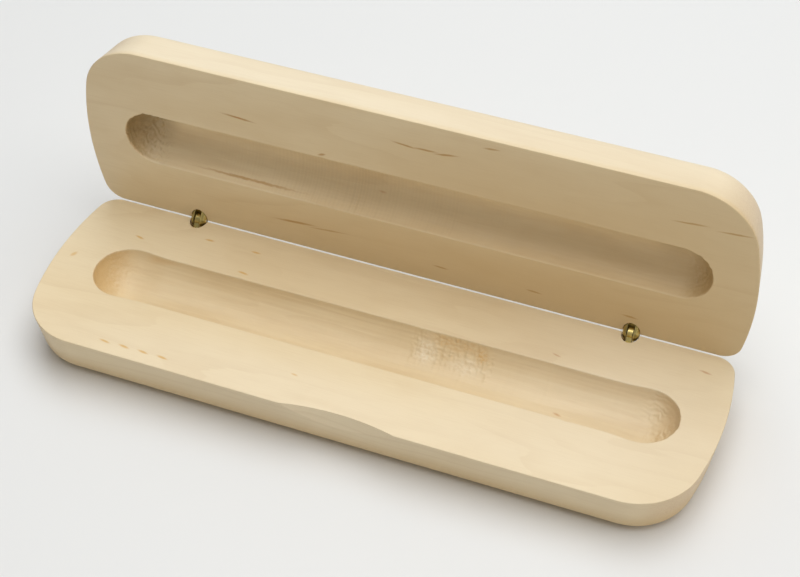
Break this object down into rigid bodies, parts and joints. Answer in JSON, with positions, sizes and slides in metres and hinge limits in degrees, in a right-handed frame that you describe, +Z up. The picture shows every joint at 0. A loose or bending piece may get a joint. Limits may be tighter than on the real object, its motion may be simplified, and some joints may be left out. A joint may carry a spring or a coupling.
{
  "type": "fountain pen case",
  "caption": "Rounded wooden pen case: base and upright lid joined by small brass barrel hinges, matching round-bottomed pen grooves and a finger scoop.",
  "frame": {"origin": "middle of the base's flat underside, on the surface that the case stands on", "axes": "+X along the case's length, +Y from the finger scoop towards the hinges, +Z up"},
  "size_m": [0.1998, 0.0732, 0.0731],
  "materials": {
    "maple": "bare, finely sanded",
    "antique_brass": "antique, satin",
    "pin_steel": "plain"
  },
  "bodies": {
    "base": {"base_half": "maple", "left_hinge_tongue": "antique_brass", "right_hinge_tongue": "antique_brass"},
    "lid": {"lid_half": "maple", "left_hinge_fork": "antique_brass", "left_hinge_pin": "pin_steel", "right_hinge_fork": "antique_brass", "right_hinge_pin": "pin_steel"}
  },
  "joints": [
    {"name": "lid_hinge", "type": "hinge", "parent": "base", "child": "lid", "pos_m": [0, 0.0291, 0.01507], "axis": [1, 0, 0], "range_deg": [0, 90]}
  ]
}
